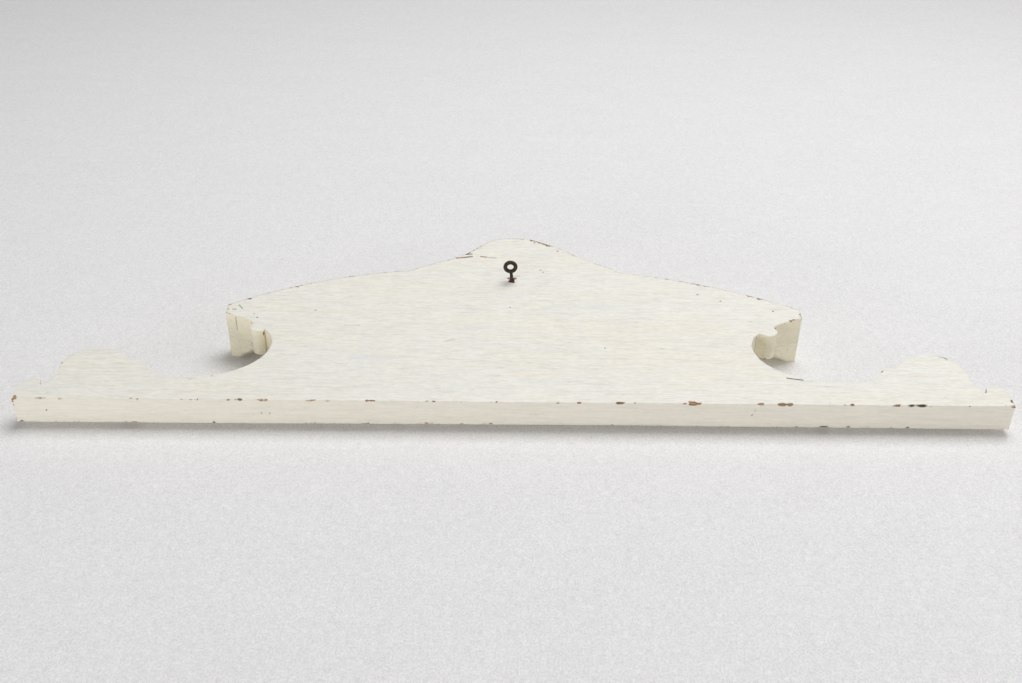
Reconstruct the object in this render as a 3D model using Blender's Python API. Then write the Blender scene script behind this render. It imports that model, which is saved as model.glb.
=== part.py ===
"""A scrolled wooden pediment: a sawn board, a crown moulding glued to its front, and a screw eye in its back.

The board stands upright. Its back lies in the plane y = 0, its front faces -Y and +Z is up.
The origin is on the back face, on the centre line, where the pediment bears against a wall.
Outlines are worked out as (x, height) pairs, with the height above the straight lower edge.
"""
import math

import bmesh
import bpy
from mathutils import Matrix, Vector

# The board
LENGTH = 1.000
HEIGHT = 0.310
BOARD_THICKNESS = 0.031
MOUNT_HEIGHT = 0.150
GLUE_GAP = 0.0003

# The low round lobe at each end of the base
LOBE_RADIUS = 0.015
LOBE_TOP = 0.0315
LOBE_FLAT = 0.006
LOBE_SAG = 0.0015
LOBE_NOTCH_HEIGHT = 0.022
LOBE_NOTCH_WIDTH = 0.005
LOBE_NOTCH_SLOPE = 0.0012

# The dome beside it, and the small fillet on the dome's inner side
DOME_FROM_END = 0.0675
DOME_RADIUS = 0.034
DOME_TOP = 0.086
DOME_INNER_ANGLE = math.radians(132)
DOME_OUTER_ANGLE = math.radians(-18)
FILLET_FROM_DOME = 0.039
FILLET_WIDTH = 0.012
FILLET_TOP = 0.0640
FILLET_SAG = 0.0015

# The open bay between the dome and the shoulder
BAY_FLOOR = 0.0365
BAY_FLOOR_LENGTH = 0.013
BAY_COVE_RADIUS = 0.0335
BAY_COVE_START = math.radians(-15)
WAIST_INSET_AT_POSITIVE_X = 0.0303
WAIST_INSET_AT_NEGATIVE_X = 0.0352
WAIST_HEIGHT = 0.095
WAIST_RETURN_WIDTH = 0.028
WAIST_RETURN_HEIGHT = 0.032

# The rounded lobe under the crown moulding, measured from the moulding's foot
EAR_RADIUS = 0.009
EAR_INSET = 0.013
EAR_DROP = 0.009
EAR_START_ANGLE = math.radians(-130)
EAR_END_ANGLE = math.radians(40)
EAR_NOTCH_RISE = 0.0045
EAR_QUIRK = 0.0055
EAR_QUIRK_FALL = 0.0006

# The crown moulding, whose profile is also cut on the ends of the board
SHOULDER_HALF = 0.286
SHOULDER_HEIGHT = 0.1665
CROWN_PROJECTION = 0.027
CROWN_BAND = 0.0165
CROWN_DRIP_DEPTH = 0.0118
CROWN_DRIP_FALL = 0.0045
CROWN_QUIRK = 0.0015
CROWN_COVE_HEIGHT = 0.0085
CROWN_COVE_SAG = 0.0012
CROWN_FOOT_INSET = 0.0035
CROWN_SEAT = 0.004
# The raking run is taller than the returns: how many times, square to the rake and straight down at its ends
RAKING_SCALE = 1.2
RAKING_END_SCALE = 1.45
MITRE_BLEND = 0.060
MITRE_LIMIT = 0.7

# The top edge: a raking arc on each side, then the crest between two breaks
BREAK_HALF = 0.119
BREAK_HEIGHT = 0.238
RAKE_RISE_AT_POSITIVE_X = 0.012
RAKE_RISE_AT_NEGATIVE_X = 0.009
# Each crest half was sawn by hand: points as shares of the break's half width and of the crest's rise
CREST_AT_POSITIVE_X = ((0.145, 0.970), (0.24, 0.890), (0.34, 0.735), (0.435, 0.560),
                       (0.52, 0.440), (0.67, 0.300), (0.86, 0.140))
CREST_AT_NEGATIVE_X = ((0.16, 0.965), (0.36, 0.790), (0.46, 0.680), (0.61, 0.465),
                       (0.79, 0.250), (0.895, 0.150))

# The iron screw eye
EYE_OFFSET = 0.0025
EYE_HEIGHT = 0.218
EYE_RING_OUTSIDE = 0.0158
EYE_WIRE = 0.0037
EYE_STEM = 0.0108
EYE_STEM_DIAMETER = 0.0035
EYE_SHANK = 0.015
EYE_SHANK_DIAMETER = 0.0030
EYE_HOLE_CLEARANCE = 0.0004
EYE_STEM_GAP = 0.0006
EYE_LEAN = math.radians(6)

# How finely the round stretches are divided
ARC_STEP = math.radians(11)
RAKE_STEPS = 18
COVE_STEPS = 6
CREST_STEPS = 3
RING_SEGMENTS = 36
WIRE_SEGMENTS = 12
WELD_DISTANCE = 1e-6
FLAT_ANGLE = math.radians(0.2)

PAINT = (0.80, 0.79, 0.73, 1.0)
IRON = (0.045, 0.035, 0.030, 1.0)


def arc(centre, radii, start, end):
    """Points along an upright ellipse, from the start angle to the end angle."""
    steps = max(2, math.ceil(abs(end - start) / ARC_STEP))
    angles = [start + (end - start) * i / steps for i in range(steps + 1)]
    return [(centre[0] + radii[0] * math.cos(a), centre[1] + radii[1] * math.sin(a)) for a in angles]


def smooth(knots, steps):
    """Points of a Catmull-Rom curve through the knots, with the given steps between each pair."""
    path = [Vector(knot) for knot in knots]
    path = [2 * path[0] - path[1], *path, 2 * path[-1] - path[-2]]
    points = []
    for before, start, end, after in zip(path, path[1:], path[2:], path[3:]):
        for i in range(steps):
            t = i / steps
            point = 0.5 * (2 * start + (end - before) * t
                           + (2 * before - 5 * start + 4 * end - after) * t ** 2
                           + (3 * start - before - 3 * end + after) * t ** 3)
            points.append(tuple(point))
    return points + [tuple(knots[-1])]


def bowed(start, end, rise, steps):
    """Points of a shallow arc from start to end, which rises over its chord on the right hand side."""
    start, end = Vector(start), Vector(end)
    chord = end - start
    outward = Vector((chord.y, -chord.x)).normalized()
    shares = [i / steps for i in range(steps + 1)]
    return [tuple(start + chord * t + outward * (4 * rise * t * (1 - t))) for t in shares]


def crown_profile():
    """The crown moulding's section from the top down, as (projection, drop) pairs."""
    drip_inner = CROWN_PROJECTION - CROWN_DRIP_DEPTH
    drip_foot = CROWN_BAND + CROWN_DRIP_FALL
    cove_top = drip_foot + CROWN_QUIRK
    cove_foot = cove_top + CROWN_COVE_HEIGHT
    cove = bowed((drip_inner, cove_top), (-CROWN_FOOT_INSET, cove_foot), -CROWN_COVE_SAG, COVE_STEPS)
    return [(CROWN_PROJECTION, 0), (CROWN_PROJECTION, CROWN_BAND), (drip_inner, drip_foot),
            *cove, (-CROWN_FOOT_INSET, cove_foot + CROWN_QUIRK)]


def base_lobe():
    """The round lobe at the end of the base and the notch beside it."""
    outside = LENGTH / 2
    centre = (outside - LOBE_RADIUS, LOBE_TOP - LOBE_RADIUS)
    inner = centre[0] - LOBE_FLAT
    return [(outside, 0), *arc(centre, (LOBE_RADIUS, LOBE_RADIUS), 0, math.pi / 2),
            (inner, LOBE_TOP - LOBE_SAG), (inner - LOBE_NOTCH_SLOPE, LOBE_NOTCH_HEIGHT),
            (inner - LOBE_NOTCH_WIDTH, LOBE_NOTCH_HEIGHT)]


def dome_centre():
    """The centre of the dome's arc."""
    return (LENGTH / 2 - DOME_FROM_END, DOME_TOP - DOME_RADIUS)


def fillet_inner():
    """Where the small fillet ends and the bay begins."""
    return dome_centre()[0] - FILLET_FROM_DOME - FILLET_WIDTH


def dome():
    """The dome and the small fillet that ends it."""
    inner = fillet_inner()
    return [*arc(dome_centre(), (DOME_RADIUS, DOME_RADIUS), DOME_OUTER_ANGLE, DOME_INNER_ANGLE),
            (inner + FILLET_WIDTH, FILLET_TOP - FILLET_SAG), (inner + FILLET_WIDTH / 2, FILLET_TOP),
            (inner, FILLET_TOP - FILLET_SAG)]


def crown_foot():
    """The height of the crown moulding's lower edge at the shoulder."""
    return SHOULDER_HEIGHT - crown_profile()[-1][1]


def bay(waist_inset):
    """The bay's cove, its floor, the long sweep in to the waist and the short return above it."""
    cove_foot = fillet_inner() - BAY_COVE_RADIUS
    cove = arc((cove_foot, BAY_FLOOR + BAY_COVE_RADIUS), (BAY_COVE_RADIUS, BAY_COVE_RADIUS),
               BAY_COVE_START, -math.pi / 2)
    sweep_start = cove_foot - BAY_FLOOR_LENGTH
    waist = SHOULDER_HALF - waist_inset
    sweep = arc((sweep_start, WAIST_HEIGHT), (sweep_start - waist, WAIST_HEIGHT - BAY_FLOOR),
                -math.pi / 2, -math.pi)
    return_rise = crown_foot() - EAR_DROP - EAR_NOTCH_RISE - WAIST_HEIGHT
    return_end = math.pi - math.asin(min(1, return_rise / WAIST_RETURN_HEIGHT))
    back = arc((waist + WAIST_RETURN_WIDTH, WAIST_HEIGHT),
               (WAIST_RETURN_WIDTH, WAIST_RETURN_HEIGHT), math.pi, return_end)
    return cove + sweep + back[1:]


def ear():
    """The rounded lobe between the bay and the crown moulding."""
    centre = (SHOULDER_HALF - EAR_INSET, crown_foot() - EAR_DROP)
    return arc(centre, (EAR_RADIUS, EAR_RADIUS), EAR_START_ANGLE, EAR_END_ANGLE)


def crown_end():
    """The crown moulding's profile as cut on the end of the board, from its foot up to the tip."""
    profile = crown_profile()
    foot = (SHOULDER_HALF - EAR_QUIRK, crown_foot() - EAR_QUIRK_FALL)
    return [foot] + [(SHOULDER_HALF + out, SHOULDER_HEIGHT - drop) for out, drop in reversed(profile)]


def rake(rise):
    """The arc from the shoulder's tip up to the break beside the crest, with its rise over the chord."""
    return bowed((SHOULDER_HALF + CROWN_PROJECTION, SHOULDER_HEIGHT), (BREAK_HALF, BREAK_HEIGHT),
                 rise, RAKE_STEPS)


def crest(shares):
    """One half of the crest, from the break in to the point before the centre line."""
    rise = HEIGHT - BREAK_HEIGHT
    knots = [(BREAK_HALF, BREAK_HEIGHT)]
    knots += [(BREAK_HALF * x, BREAK_HEIGHT + rise * z) for x, z in reversed(shares)]
    knots += [(0, HEIGHT)]
    return smooth(knots, CREST_STEPS)[:-1]


def mirrored(points):
    """The points turned over the centre line, in the opposite order."""
    return [(-x, z) for x, z in reversed(points)]


def top_edge():
    """The whole top edge, from the tip at +X over the crest to the tip at -X."""
    right = rake(RAKE_RISE_AT_POSITIVE_X) + crest(CREST_AT_POSITIVE_X)[1:]
    left = rake(RAKE_RISE_AT_NEGATIVE_X) + crest(CREST_AT_NEGATIVE_X)[1:]
    return right + [(0, HEIGHT)] + mirrored(left)


def side(waist_inset):
    """One side of the outline, from the end of the base up to the crown moulding's tip."""
    return base_lobe() + dome() + bay(waist_inset) + ear() + crown_end()


def board_outline():
    """The board's closed outline, anticlockwise in (x, height)."""
    right, left = side(WAIST_INSET_AT_POSITIVE_X), side(WAIST_INSET_AT_NEGATIVE_X)
    return right[:-1] + top_edge() + mirrored(left)[1:]


def material(name, colour, roughness, metallic):
    """A plain painted or metal finish."""
    finish = bpy.data.materials.new(name)
    finish.use_nodes = True
    shader = finish.node_tree.nodes["Principled BSDF"]
    shader.inputs["Base Color"].default_value = colour
    shader.inputs["Roughness"].default_value = roughness
    shader.inputs["Metallic"].default_value = metallic
    return finish


def add(name, mesh, finish, collection):
    """Puts a mesh in the scene under its name."""
    mesh.name = name
    mesh.materials.clear()
    mesh.materials.append(finish)
    piece = bpy.data.objects.new(name, mesh)
    collection.objects.link(piece)
    return piece


def upright(points, y):
    """Outline points in the row's own axes, at the given y."""
    return [Vector((x, y, height - MOUNT_HEIGHT)) for x, height in points]


def make_board(finish, collection):
    """The flat board: its outline filled and given its thickness."""
    curve = bpy.data.curves.new("board_outline", "CURVE")
    curve.dimensions = "2D"
    curve.fill_mode = "BOTH"
    curve.extrude = BOARD_THICKNESS / 2
    points = board_outline()
    spline = curve.splines.new("POLY")
    spline.points.add(len(points) - 1)
    for point, (x, height) in zip(spline.points, points):
        point.co = (x, height, 0, 1)
    spline.use_cyclic_u = True
    guide = bpy.data.objects.new("board_outline", curve)
    collection.objects.link(guide)
    # The curve lies flat: it is stood up, then moved so that its back is at y = 0.
    guide.matrix_world = (Matrix.Translation((0, -BOARD_THICKNESS / 2, -MOUNT_HEIGHT))
                          @ Matrix.Rotation(math.pi / 2, 4, "X"))
    bpy.context.view_layer.update()
    placed = guide.matrix_world.copy()
    mesh = bpy.data.meshes.new_from_object(guide.evaluated_get(bpy.context.evaluated_depsgraph_get()))
    welded = bmesh.new()
    welded.from_mesh(mesh)
    bmesh.ops.remove_doubles(welded, verts=welded.verts, dist=WELD_DISTANCE)
    # The two flat faces become one polygon each, which the hole is then cut in.
    bmesh.ops.dissolve_limit(welded, angle_limit=FLAT_ANGLE, verts=[], edges=welded.edges)
    welded.to_mesh(mesh)
    welded.free()
    bpy.data.objects.remove(guide)
    piece = add("back_board", mesh, finish, collection)
    piece.matrix_world = placed
    return piece


def crown_rows():
    """The crown moulding's long lines: one for each point of its profile, from return to return."""
    edge = [Vector(point) for point in top_edge()]
    tip = edge[0]
    joint = -BOARD_THICKNESS - GLUE_GAP
    rows = []
    for projection, drop in crown_profile():
        row = []
        for i, point in enumerate(edge):
            before, after = edge[max(i - 1, 0)], edge[min(i + 1, len(edge) - 1)]
            first, second = (point - before), (after - point)
            first = first.normalized() if first.length else second.normalized()
            second = second.normalized() if second.length else first
            along = (first + second).normalized()
            stretch = 1 / max(along.dot(first), MITRE_LIMIT)
            inward = Vector((-along.y, along.x)) * stretch
            near = max(0, 1 - (tip.x - abs(point.x)) / MITRE_BLEND)
            scale = RAKING_SCALE + (RAKING_END_SCALE - RAKING_SCALE) * near
            if i in (0, len(edge) - 1):
                scale = 1
            shift = inward.lerp(Vector((0, -1)), near) * drop * scale
            shift.x += (projection - CROWN_PROJECTION) * near * math.copysign(1, point.x)
            row.append(point + shift)
        # The mitre is square, but the moulding's lower edge keeps the thickness of its seat.
        depth = -BOARD_THICKNESS - max(CROWN_SEAT, projection)
        line = upright([row[0]], joint) + upright(row, depth) + upright([row[-1]], joint)
        rows.append(line)
    return rows


def make_crown(finish, collection):
    """The crown moulding: its profile lofted along the top edge, with a mitred return at each end."""
    rows = crown_rows()
    joint = -BOARD_THICKNESS - GLUE_GAP
    flat = [Vector((point.x, joint, point.z)) for point in rows[0]]
    foot = [Vector((point.x, joint, point.z)) for point in rows[-1]]
    shape = bmesh.new()
    lines = [[shape.verts.new(point) for point in line] for line in (flat, *rows, foot)]
    for upper, lower in zip(lines, lines[1:]):
        for a, b, c, d in zip(upper, upper[1:], lower[1:], lower):
            shape.faces.new((a, b, c, d))
    bmesh.ops.remove_doubles(shape, verts=shape.verts, dist=WELD_DISTANCE)
    rim = [edge for edge in shape.edges if edge.is_boundary]
    bmesh.ops.contextual_create(shape, geom=rim)
    bmesh.ops.triangulate(shape, faces=[face for face in shape.faces if len(face.verts) > 4])
    bmesh.ops.dissolve_degenerate(shape, dist=WELD_DISTANCE, edges=shape.edges)
    bmesh.ops.recalc_face_normals(shape, faces=shape.faces)
    mesh = bpy.data.meshes.new("crown_moulding")
    shape.to_mesh(mesh)
    shape.free()
    return add("crown_moulding", mesh, finish, collection)


def turned(name, radius, bottom, top, collection):
    """A round pin along +Y, from bottom to top, in the screw eye's own place."""
    bpy.ops.mesh.primitive_cylinder_add(vertices=2 * WIRE_SEGMENTS, radius=radius, depth=top - bottom)
    piece = bpy.context.object
    piece.name = name
    # The cylinder stands along Z: a quarter turn about X lays it along Y.
    local = Matrix.Rotation(-math.pi / 2, 4, "X") @ Matrix.Translation((0, 0, (top + bottom) / 2))
    piece.matrix_world = eye_place() @ local
    move_to(piece, collection)
    return piece


def move_to(piece, collection):
    """Moves an object into the given collection alone."""
    for old in piece.users_collection:
        old.objects.unlink(piece)
    collection.objects.link(piece)


def eye_place():
    """Where the screw eye enters the board, leaning a little towards +X."""
    place = Matrix.Translation((EYE_OFFSET, 0, EYE_HEIGHT - MOUNT_HEIGHT))
    return place @ Matrix.Rotation(-EYE_LEAN, 4, "Z")


def join_by_boolean(piece, other, operation):
    """Adds a Boolean with another object, which is kept as a hidden cutter."""
    cut = piece.modifiers.new(other.name, "BOOLEAN")
    cut.operation = operation
    cut.object = other
    other.hide_render = True
    other.display_type = "WIRE"


def make_eye(board, finish, collection, cutters):
    """The screw eye: a ring of wire on a stem, whose shank goes into a hole in the board."""
    ring_radius = (EYE_RING_OUTSIDE - EYE_WIRE) / 2
    centre = EYE_STEM + EYE_RING_OUTSIDE / 2
    bpy.ops.mesh.primitive_torus_add(major_radius=ring_radius, minor_radius=EYE_WIRE / 2,
                                     major_segments=RING_SEGMENTS, minor_segments=WIRE_SEGMENTS)
    ring = bpy.context.object
    ring.name = "screw_eye"
    ring.data.materials.append(finish)
    # The torus lies in the XY plane, which is the plane that the ring keeps.
    ring.matrix_world = eye_place() @ Matrix.Translation((0, centre, 0))
    move_to(ring, collection)
    stem = turned("stem", EYE_STEM_DIAMETER / 2, EYE_STEM_GAP, centre - ring_radius, cutters)
    join_by_boolean(ring, stem, "UNION")
    shank = turned("shank", EYE_SHANK_DIAMETER / 2, -EYE_SHANK, EYE_STEM / 2, cutters)
    join_by_boolean(ring, shank, "UNION")
    hole = turned("hole", EYE_SHANK_DIAMETER / 2 + EYE_HOLE_CLEARANCE,
                  -EYE_SHANK - EYE_HOLE_CLEARANCE, EYE_WIRE, cutters)
    join_by_boolean(board, hole, "DIFFERENCE")
    ring.data.shade_smooth()
    return ring


def main():
    """Builds the pediment."""
    for old in list(bpy.data.objects):
        bpy.data.objects.remove(old)
    collection = bpy.data.collections.new("wooden_pediment")
    cutters = bpy.data.collections.new("cutters")
    bpy.context.scene.collection.children.link(collection)
    bpy.context.scene.collection.children.link(cutters)
    paint = material("old_white_paint", PAINT, 0.62, 0.0)
    iron = material("rusty_iron", IRON, 0.60, 0.6)
    board = make_board(paint, collection)
    make_crown(paint, collection)
    make_eye(board, iron, collection, cutters)


main()
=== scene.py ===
"""The old painted pediment of the photograph, dressed over its solids and seen from its back.

The board, the crown moulding and the screw eye are each a class that builds and dresses its own
mesh. Wear is placed where the photograph shows it: a spot given in the photograph's pixels is sent
through the camera on to the board.
"""

import logging
import math
from collections.abc import Callable, Iterator, Sequence
from contextlib import contextmanager
from dataclasses import dataclass, field, replace
from enum import Enum

import bmesh
import bpy
import numpy as np
from mathutils import Matrix, Vector, geometry, kdtree, noise

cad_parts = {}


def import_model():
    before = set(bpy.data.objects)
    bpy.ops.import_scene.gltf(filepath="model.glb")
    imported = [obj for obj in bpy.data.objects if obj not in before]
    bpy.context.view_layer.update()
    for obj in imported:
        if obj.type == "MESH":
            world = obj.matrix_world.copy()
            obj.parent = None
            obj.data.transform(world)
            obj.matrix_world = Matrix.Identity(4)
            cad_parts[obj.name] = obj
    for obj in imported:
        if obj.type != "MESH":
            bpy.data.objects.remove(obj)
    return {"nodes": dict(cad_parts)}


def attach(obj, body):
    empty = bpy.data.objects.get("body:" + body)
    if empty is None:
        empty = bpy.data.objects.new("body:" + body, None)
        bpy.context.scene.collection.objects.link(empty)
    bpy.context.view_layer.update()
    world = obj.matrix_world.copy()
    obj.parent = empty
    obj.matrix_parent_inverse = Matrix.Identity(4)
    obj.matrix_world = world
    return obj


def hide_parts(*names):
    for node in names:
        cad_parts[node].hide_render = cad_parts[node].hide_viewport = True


LOG = logging.getLogger("pediment")
MILLIMETRE = 0.001

# A mark that reaches less far than this, in millimetres, gets rings of finer points.
SMALL_MARK = 4.0
MARK_RINGS = (0.45, 0.8, 1.15)
RING_POINTS = 12

# A honeycomb of points: how far apart its rows lie and how far its points stray, as shares of its
# step, the seed that they stray by, and how clear they stay of a rim, in metres.
ROW_RISE = 0.866
STRAY = 0.18
STRAY_SEED = 7
RIM_CLEAR = 0.0016

# How clear the finer points round a mark stay of each other and of a rim, in metres.
POINT_CLEAR = 0.00025
RING_CLEAR = 0.0005

# Where the yellowed paint and its painted warm bounce light start and are full: upwards from the
# bays, and outwards to the returns.
YELLOW_RISE = (-0.07, -0.05)
YELLOW_REACH = (0.20, 0.27)

# The angle in degrees from which an edge is shaded sharp: on painted wood, and on the wire.
WOOD_SHARP = 50.0
WIRE_SHARP = 60.0

Spot = tuple[float, float]
Colour = tuple[float, float, float]


def srgb(red: int, green: int, blue: int) -> Colour:
    """A display colour from 0 to 255 as the linear colour that shaders use.

    Args:
        red: The red channel.
        green: The green channel.
        blue: The blue channel.

    Returns:
        The linear colour.
    """
    linear = []
    for channel in (red, green, blue):
        share = channel / 255
        linear.append(share / 12.92 if share <= 0.04045 else ((share + 0.055) / 1.055) ** 2.4)
    return tuple(linear)


def smoothstep(low: float, high: float, value: np.ndarray | float) -> np.ndarray | float:
    """Rises smoothly from 0 at low to 1 at high."""
    share = np.clip((value - low) / (high - low), 0, 1)
    return share * share * (3 - 2 * share)


def ripple(x: float, y: float, z: float, size: Sequence[float], seed: float = 0.0) -> float:
    """Smooth noise from -1 to 1, whose bumps have the given size along each axis."""
    return noise.noise(Vector((x / size[0] + seed, y / size[1] - seed, z / size[2] + 2 * seed)))


def placed(name: str, data: bpy.types.ID) -> bpy.types.Object:
    """Makes an object of that name and data, and puts it in the scene.

    Args:
        name: Its name.
        data: Its mesh, light or camera.

    Returns:
        The object.
    """
    made = bpy.data.objects.new(name, data)
    bpy.context.scene.collection.objects.link(made)
    return made


@contextmanager
def edited(mesh: bpy.types.Mesh) -> Iterator[bmesh.types.BMesh]:
    """Opens a mesh for editing, and writes it back at the end.

    Args:
        mesh: The mesh.

    Yields:
        Its editable copy.
    """
    shape = bmesh.new()
    shape.from_mesh(mesh)
    yield shape
    shape.to_mesh(mesh)
    shape.free()


def search_tree(rim: np.ndarray, hole: Sequence[Vector]) -> kdtree.KDTree:
    """A search tree over the points of a rim and of a hole.

    Args:
        rim: The rim, as (x, z) rows.
        hole: The hole's rim, as (x, z).

    Returns:
        The tree.
    """
    places = [*rim.tolist(), *hole]
    tree = kdtree.KDTree(len(places))
    for i, place in enumerate(places):
        tree.insert((place[0], place[1], 0), i)
    tree.balance()
    return tree


def yellowing_and_warm_bounce(x: float, z: float) -> float:
    """Yellowed paint and painted warm bounce light: most on the returns and the waist below them.
    """
    return float(smoothstep(*YELLOW_RISE, z) * (0.3 + 0.7 * smoothstep(*YELLOW_REACH, abs(x))))


class Layer(Enum):
    """What the paint has gone through, and some painted light and shade, kept at each vertex as a
    number from 0 to 1.
    """

    BARE = "bare"
    # Real dirt, and also painted shade in the hollow under each return.
    GRIME_AND_SHADE = "grime"
    THIN = "thin"
    # Ivory patches, and yellowed paint with painted warm bounce light on the sides.
    IVORY = "ivory"
    RUST = "rust"
    SIDE = "side"


class Arris(Enum):
    """The two long edges round the board."""

    BACK = 0.0
    FRONT = 1.0


class Slot(Enum):
    """The record's material slots."""

    BOARD = "old_white_paint"
    CROWN = "cream_paint"
    EYE = "rusty_iron"


@dataclass(frozen=True)
class ViewPoint:
    """The photograph's camera, and what it sees at a spot of the picture."""

    lens: float = 46.85
    sensor: float = 36.0
    picture: tuple[int, int] = (1022, 683)
    place: tuple[float, float, float] = (0.0141, 0.8284, -1.1837)
    aim: tuple[float, float, float] = (0.0037, 0.0, -0.0479)
    roll: float = math.radians(0.84)

    def axes(self) -> tuple[Vector, Vector, Vector]:
        """The camera's right, up and forward directions.

        Returns:
            The three directions, each of length 1.
        """
        forward = (Vector(self.aim) - Vector(self.place)).normalized()
        right = forward.cross(Vector((0, 1, 0))).normalized()
        up = right.cross(forward)
        turned = right * math.cos(self.roll) + up * math.sin(self.roll)
        return turned, turned.cross(forward), forward

    def seen(self, spot: Spot, axis: int, level: float) -> Vector:
        """Where the ray through a spot meets a plane.

        Args:
            spot: The spot in the photograph's pixels, from its top left corner.
            axis: The axis the plane is square to: 1 for Y, 2 for Z.
            level: Where the plane stands on that axis.

        Returns:
            The meeting point, in metres.
        """
        right, up, forward = self.axes()
        reach = self.lens / self.sensor * self.picture[0]
        across = spot[0] - self.picture[0] / 2
        down = spot[1] - self.picture[1] / 2
        ray = forward * reach + right * across - up * down
        start = Vector(self.place)
        return start + ray * ((level - start[axis]) / ray[axis])

    def on_back(self, spot: Spot, depth: float = 0.0) -> Vector:
        """The (x, z) seen at a spot on the board's back, or on a plane that deep below it."""
        point = self.seen(spot, 1, -depth)
        return Vector((point.x, point.z))

    def build(self) -> bpy.types.Object:
        """Makes the camera and gives it to the scene.

        Returns:
            The camera.
        """
        data = bpy.data.cameras.new("camera")
        data.lens = self.lens
        data.sensor_width = self.sensor
        data.clip_start, data.clip_end = 0.05, 30
        camera = placed("camera", data)
        right, up, forward = self.axes()
        turned = Matrix((right, up, -forward)).transposed().to_4x4()
        camera.matrix_world = Matrix.Translation(self.place) @ turned
        bpy.context.scene.camera = camera
        return camera


class Socket:
    """One output of a shader node, which can be added, multiplied and so on like a number."""

    def __init__(self, graph: "Graph", output: bpy.types.NodeSocket) -> None:
        """Wraps an output of one of the graph's nodes."""
        self.graph = graph
        self.output = output

    def math(self, operation: str, *values: "Value") -> "Socket":
        """Applies a Math node to the values."""
        return self.graph.node("ShaderNodeMath", {"operation": operation}, dict(enumerate(values)))

    def __add__(self, other: "Value") -> "Socket":
        """This plus the other."""
        return self.math("ADD", self, other)

    def __radd__(self, other: "Value") -> "Socket":
        """The other plus this."""
        return self.math("ADD", other, self)

    def __sub__(self, other: "Value") -> "Socket":
        """This minus the other."""
        return self.math("SUBTRACT", self, other)

    def __rsub__(self, other: "Value") -> "Socket":
        """The other minus this."""
        return self.math("SUBTRACT", other, self)

    def __mul__(self, other: "Value") -> "Socket":
        """This times the other."""
        return self.math("MULTIPLY", self, other)

    def __rmul__(self, other: "Value") -> "Socket":
        """The other times this."""
        return self.math("MULTIPLY", other, self)

    def rise(self, low: float, high: float) -> "Socket":
        """Rises smoothly from 0 where this is low to 1 where it is high."""
        inputs = {0: self, 1: low, 2: high, 3: 0.0, 4: 1.0}
        return self.graph.node("ShaderNodeMapRange", {"interpolation_type": "SMOOTHSTEP"}, inputs)


Value = Socket | float | tuple


class Graph:
    """A node tree, built node by node."""

    def __init__(self, tree: bpy.types.NodeTree) -> None:
        """Takes the tree over."""
        self.tree = tree

    def node(self, kind: str, settings: dict[str, object] | None = None,
             inputs: dict[int | str, Value] | None = None, output: int | str = 0) -> Socket:
        """Adds one node.

        Args:
            kind: The node's type, such as "ShaderNodeMath".
            settings: The node's properties.
            inputs: Values or sockets for its inputs, by index or name.
            output: Which output to return.

        Returns:
            The chosen output.
        """
        made = self.tree.nodes.new(kind)
        for key, value in (settings or {}).items():
            setattr(made, key, value)
        for key, value in (inputs or {}).items():
            if isinstance(value, Socket):
                self.tree.links.new(value.output, made.inputs[key])
            else:
                made.inputs[key].default_value = value
        return Socket(self, made.outputs[output])

    def joined(self, parts: Sequence[Socket]) -> Socket:
        """Several parts as one geometry, joined in their order.

        Args:
            parts: The parts.

        Returns:
            The whole.
        """
        join = self.tree.nodes.new("GeometryNodeJoinGeometry")
        for part in parts:
            self.tree.links.new(part.output, join.inputs[0])
        return Socket(self, join.outputs[0])

    def moved(self, part: Socket, shift: Value, turn: float = 0.0) -> Socket:
        """A geometry shifted, and turned about X first."""
        inputs = {"Geometry": part, "Translation": shift, "Rotation": (turn, 0.0, 0.0)}
        return self.node("GeometryNodeTransform", {}, inputs)

    def upright(self, height: Value) -> Socket:
        """A height along Y, as a vector."""
        return self.node("ShaderNodeCombineXYZ", {}, {"Y": height})


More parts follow.
